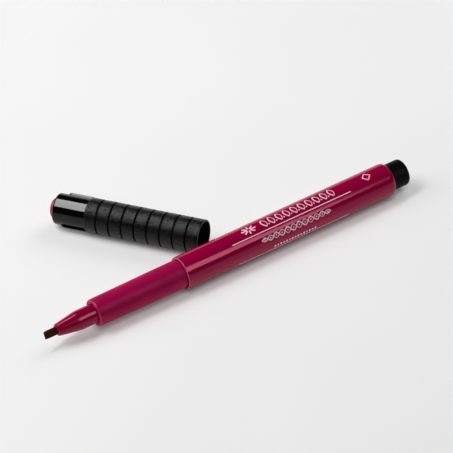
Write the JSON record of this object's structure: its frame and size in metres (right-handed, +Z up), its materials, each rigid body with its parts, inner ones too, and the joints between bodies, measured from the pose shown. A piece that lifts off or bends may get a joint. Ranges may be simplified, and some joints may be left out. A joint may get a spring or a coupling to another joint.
{
  "type": "calligraphy marker",
  "caption": "Chisel-nib calligraphy marker with a round magenta barrel, a stepped grip section and nose cone, and its ribbed black cap lying off beside it.",
  "frame": {"origin": "on the pen's axis at the front step of the barrel, where the cap's mouth stops when the pen is capped", "axes": "the pen lies along X with the nib towards -X, +Z is up from the table, and the cap lies off on the +Y side"},
  "size_m": [0.1388, 0.0627, 0.0116],
  "materials": {
    "barrel_gloss": "polished injection-moulded polypropylene, crimson magenta",
    "grip_satin": "satin moulded magenta grip",
    "holder_gloss": "glossy moulded magenta",
    "nib_fibre": "bonded fibre soaked in dark ink",
    "reservoir_fibre": "bundled polyester fibre soaked in magenta ink",
    "wrap_film": "thin clear plastic wrap",
    "plug_matt": "matt black moulded plastic",
    "cap_black": "satin black on the ribbed part, glossy black on the smooth closed end",
    "liner_white": "soft natural polyethylene",
    "insert_gloss": "glossy pink-magenta colour-code insert"
  },
  "bodies": {
    "pen": {"barrel": "barrel_gloss", "front_section": "grip_satin", "nib_holder": "holder_gloss", "ink_reservoir": "reservoir_fibre", "reservoir_film": "wrap_film", "rear_plug": "plug_matt"},
    "nib": {"nib": "nib_fibre"},
    "cap": {"cap_shell": "cap_black", "inner_cap": "liner_white", "cap_end_insert": "insert_gloss"}
  },
  "joints": [
    {"name": "cap_swing", "type": "hinge", "parent": "pen", "child": "cap", "pos_m": [-0.02695, -0.09652, 0], "axis": [0, 0, 1], "range_deg": [0, 55.5]},
    {"name": "nib_pull", "type": "slide", "parent": "pen", "child": "nib", "axis": [-1, 0, 0], "range_m": [0, 0.032]}
  ]
}
